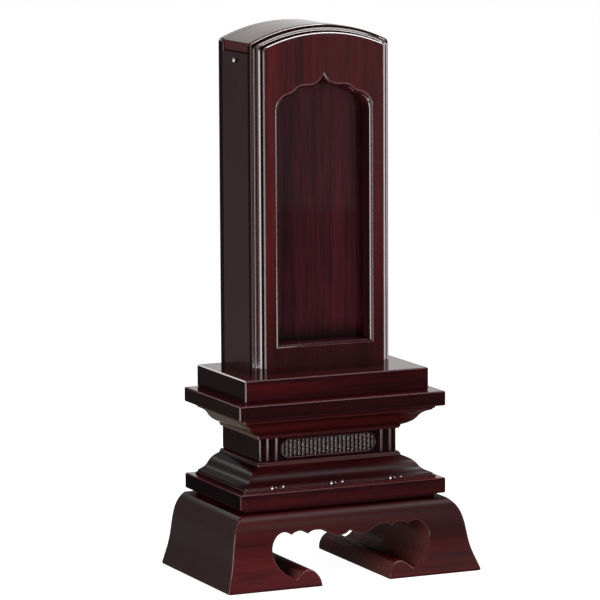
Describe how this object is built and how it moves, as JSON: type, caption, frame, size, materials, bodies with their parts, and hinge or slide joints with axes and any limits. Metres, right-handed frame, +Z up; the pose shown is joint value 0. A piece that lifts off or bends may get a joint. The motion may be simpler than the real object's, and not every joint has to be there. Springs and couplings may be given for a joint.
{
  "type": "memorial tablet box on stand",
  "caption": "Arched lacquered box on a tiered moulded pedestal; its roof lifts off so that thin wooden memorial tablets can be drawn out upwards.",
  "frame": {"origin": "middle of the footprint on the ground", "axes": "+Z up, the front with the window faces -Y, +X to the right of a viewer in front"},
  "size_m": [0.0732, 0.0454, 0.1444],
  "materials": {
    "lacquered_rosewood": "dark red-brown, glossy clear lacquer",
    "plain_wood": "pale, planed, unlacquered",
    "pin_metal": "polished"
  },
  "bodies": {
    "stand_and_case": {"foot": "lacquered_rosewood", "neck_board": "lacquered_rosewood", "lower_slab": "lacquered_rosewood", "lower_moulding": "lacquered_rosewood", "waist_block": "lacquered_rosewood", "upper_moulding": "lacquered_rosewood", "upper_slab": "lacquered_rosewood", "seat_slab": "lacquered_rosewood", "left_dowel": "plain_wood", "right_dowel": "plain_wood", "box_tenon": "plain_wood", "floor_board": "plain_wood", "left_wall": "lacquered_rosewood", "right_wall": "lacquered_rosewood", "back_board": "lacquered_rosewood", "front_frame": "lacquered_rosewood"},
    "roof": {"lid": "lacquered_rosewood", "left_cleat": "lacquered_rosewood", "right_cleat": "lacquered_rosewood"},
    "left_pin": {"left_pin": "pin_metal"},
    "right_pin": {"right_pin": "pin_metal"},
    "front_tablet": {"front_tablet": "lacquered_rosewood"},
    "tablet_1": {"plain_tablet_1": "plain_wood"},
    "tablet_2": {"plain_tablet_2": "plain_wood"},
    "tablet_3": {"plain_tablet_3": "plain_wood"},
    "tablet_4": {"plain_tablet_4": "plain_wood"},
    "tablet_5": {"plain_tablet_5": "plain_wood"},
    "tablet_6": {"plain_tablet_6": "plain_wood"},
    "tablet_7": {"plain_tablet_7": "plain_wood"},
    "tablet_8": {"plain_tablet_8": "plain_wood"}
  },
  "joints": [
    {"name": "lid_lift", "type": "slide", "parent": "stand_and_case", "child": "roof", "axis": [0, 0, 1], "range_m": [0, 0.1]},
    {"name": "left_pin_pull", "type": "slide", "parent": "stand_and_case", "child": "left_pin", "axis": [-1, 0, 0], "range_m": [0, 0.006]},
    {"name": "right_pin_pull", "type": "slide", "parent": "stand_and_case", "child": "right_pin", "axis": [1, 0, 0], "range_m": [0, 0.006]},
    {"name": "front_tablet_lift", "type": "slide", "parent": "stand_and_case", "child": "front_tablet", "axis": [0, 0, 1], "range_m": [0, 0.098]},
    {"name": "tablet_1_lift", "type": "slide", "parent": "stand_and_case", "child": "tablet_1", "axis": [0, 0, 1], "range_m": [0, 0.098]},
    {"name": "tablet_2_lift", "type": "slide", "parent": "stand_and_case", "child": "tablet_2", "axis": [0, 0, 1], "range_m": [0, 0.098]},
    {"name": "tablet_3_lift", "type": "slide", "parent": "stand_and_case", "child": "tablet_3", "axis": [0, 0, 1], "range_m": [0, 0.098]},
    {"name": "tablet_4_lift", "type": "slide", "parent": "stand_and_case", "child": "tablet_4", "axis": [0, 0, 1], "range_m": [0, 0.098]},
    {"name": "tablet_5_lift", "type": "slide", "parent": "stand_and_case", "child": "tablet_5", "axis": [0, 0, 1], "range_m": [0, 0.098]},
    {"name": "tablet_6_lift", "type": "slide", "parent": "stand_and_case", "child": "tablet_6", "axis": [0, 0, 1], "range_m": [0, 0.098]},
    {"name": "tablet_7_lift", "type": "slide", "parent": "stand_and_case", "child": "tablet_7", "axis": [0, 0, 1], "range_m": [0, 0.098]},
    {"name": "tablet_8_lift", "type": "slide", "parent": "stand_and_case", "child": "tablet_8", "axis": [0, 0, 1], "range_m": [0, 0.098]}
  ],
  "couplings": [
    {"joint": "front_tablet_lift", "follows": "lid_lift", "ratio": 0.98},
    {"joint": "tablet_1_lift", "follows": "lid_lift", "ratio": 0.969},
    {"joint": "tablet_2_lift", "follows": "lid_lift", "ratio": 0.958},
    {"joint": "tablet_3_lift", "follows": "lid_lift", "ratio": 0.947},
    {"joint": "tablet_4_lift", "follows": "lid_lift", "ratio": 0.936},
    {"joint": "tablet_5_lift", "follows": "lid_lift", "ratio": 0.925},
    {"joint": "tablet_6_lift", "follows": "lid_lift", "ratio": 0.914},
    {"joint": "tablet_7_lift", "follows": "lid_lift", "ratio": 0.903},
    {"joint": "tablet_8_lift", "follows": "lid_lift", "ratio": 0.892}
  ]
}
